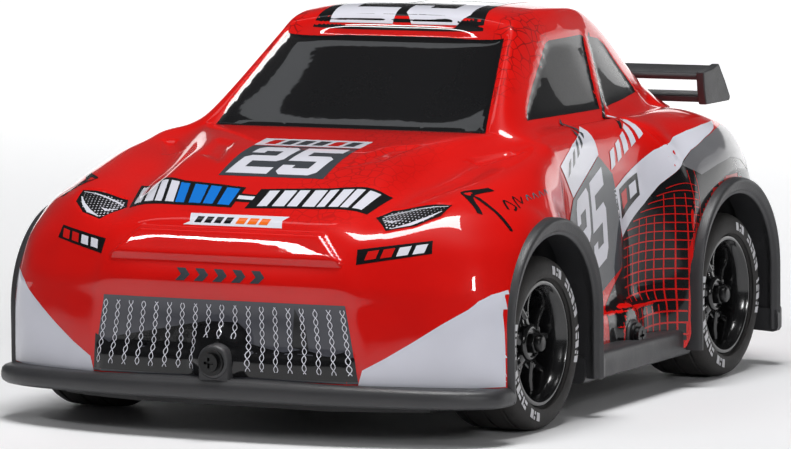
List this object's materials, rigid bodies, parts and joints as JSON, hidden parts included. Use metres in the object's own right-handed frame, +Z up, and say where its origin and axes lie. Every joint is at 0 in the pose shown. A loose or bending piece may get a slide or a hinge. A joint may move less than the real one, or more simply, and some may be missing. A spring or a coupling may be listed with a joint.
{
  "type": "remote control car",
  "caption": "Toy remote control touring car with a lacquered body shell, skirt with wheel arches, rear wing, steered front wheels and a geared, driven rear axle.",
  "frame": {"origin": "on the ground under the middle of the bounding box", "axes": "+Z up, the car drives towards -Y, +X is the car's own left side"},
  "size_m": [0.15, 0.212, 0.106],
  "materials": {
    "body_gloss": "glossy lacquered moulding",
    "trim_matte": "fine matte grain",
    "tyre_rubber": "dull moulded rubber",
    "rim_gloss": "glossy black",
    "screw_black": "blackened steel, slight shine",
    "steel": "ground steel",
    "chassis_black": "matte moulding",
    "gear_nylon": "satin nylon",
    "bronze": "sintered bronze",
    "servo_case": "satin tinted plastic",
    "board_green": "lacquered board",
    "battery_wrap": "shrink wrap",
    "switch_knob": "satin"
  },
  "bodies": {
    "chassis": {"axle_bushes": "bronze", "axle_support_left": "chassis_black", "axle_support_right": "chassis_black", "battery_cover": "chassis_black", "battery_cover_screw": "steel", "battery_pack": "battery_wrap", "board_screws": "steel", "body_screws": "screw_black", "body_shell": "body_gloss", "brace_screws": "steel", "chassis_tub": "chassis_black", "circuit_board": "board_green", "front_lower_brace": "chassis_black", "front_upper_brace": "chassis_black", "gearbox_inner_half": "chassis_black", "gearbox_outer_half": "chassis_black", "gearbox_screws": "steel", "kingpins": "steel", "motor_can": "steel", "motor_screws": "steel", "power_switch_body": "chassis_black", "rear_wing": "trim_matte", "reduction_shaft": "steel", "servo_screws": "steel", "skirt_frame": "trim_matte", "steering_servo": "servo_case", "support_screws": "steel", "wing_screws": "steel"},
    "steer_left_body": {"knuckle_left": "chassis_black", "stub_axle_left": "steel", "wheel_nut_front_left": "screw_black"},
    "steer_right_body": {"knuckle_right": "chassis_black", "stub_axle_right": "steel", "wheel_nut_front_right": "screw_black"},
    "front_left_wheel": {"rim_front_left": "rim_gloss", "tyre_front_left": "tyre_rubber"},
    "front_right_wheel": {"rim_front_right": "rim_gloss", "tyre_front_right": "tyre_rubber"},
    "tie_bar_body": {"tie_bar": "chassis_black"},
    "servo_horn_body": {"servo_horn": "gear_nylon", "horn_screw": "steel"},
    "rear_axle_body": {"rear_axle": "steel", "axle_gear": "gear_nylon", "rim_rear_left": "rim_gloss", "rim_rear_right": "rim_gloss", "tyre_rear_left": "tyre_rubber", "tyre_rear_right": "tyre_rubber", "wheel_nut_rear_left": "screw_black", "wheel_nut_rear_right": "screw_black"},
    "reduction_body": {"reduction_gear": "gear_nylon"},
    "motor_rotor": {"motor_shaft": "steel", "pinion": "gear_nylon"},
    "switch_knob_body": {"power_switch_knob": "switch_knob"}
  },
  "joints": [
    {"name": "steer_left", "type": "hinge", "parent": "chassis", "child": "steer_left_body", "pos_m": [0.055, -0.0525, 0.023], "axis": [0, 0, 1], "range_deg": [-18, 18]},
    {"name": "steer_right", "type": "hinge", "parent": "chassis", "child": "steer_right_body", "pos_m": [-0.055, -0.0525, 0.023], "axis": [0, 0, 1], "range_deg": [-18.2, 18.2]},
    {"name": "tie_bar_slide", "type": "slide", "parent": "chassis", "child": "tie_bar_body", "axis": [1, 0, 0], "range_m": [-0.00445, 0.00445]},
    {"name": "servo_horn_turn", "type": "hinge", "parent": "chassis", "child": "servo_horn_body", "pos_m": [0, -0.0245, 0.026], "axis": [0, 0, 1], "range_deg": [-18.2, 18.2]},
    {"name": "front_left_spin", "type": "hinge", "parent": "steer_left_body", "child": "front_left_wheel", "pos_m": [0.061, -0.0525, 0.023], "axis": [1, 0, 0], "continuous": true},
    {"name": "front_right_spin", "type": "hinge", "parent": "steer_right_body", "child": "front_right_wheel", "pos_m": [-0.061, -0.0525, 0.023], "axis": [1, 0, 0], "continuous": true},
    {"name": "rear_axle_spin", "type": "hinge", "parent": "chassis", "child": "rear_axle_body", "pos_m": [0, 0.0685, 0.023], "axis": [1, 0, 0], "continuous": true},
    {"name": "reduction_spin", "type": "hinge", "parent": "chassis", "child": "reduction_body", "pos_m": [-0.018, 0.05463, 0.02947], "axis": [1, 0, 0], "continuous": true},
    {"name": "motor_spin", "type": "hinge", "parent": "chassis", "child": "motor_rotor", "pos_m": [0, 0.03909, 0.02728], "axis": [1, 0, 0], "continuous": true},
    {"name": "power_switch_slide", "type": "slide", "parent": "chassis", "child": "switch_knob_body", "axis": [0, 1, 0], "range_m": [0, 0.003]}
  ],
  "couplings": [
    {"joint": "steer_right", "follows": "steer_left", "ratio": 1},
    {"joint": "tie_bar_slide", "follows": "steer_left", "m_per_rad": -0.014},
    {"joint": "servo_horn_turn", "follows": "steer_left", "ratio": -1},
    {"joint": "reduction_spin", "follows": "rear_axle_spin", "ratio": -2.1667},
    {"joint": "motor_spin", "follows": "rear_axle_spin", "ratio": 7.2222}
  ]
}
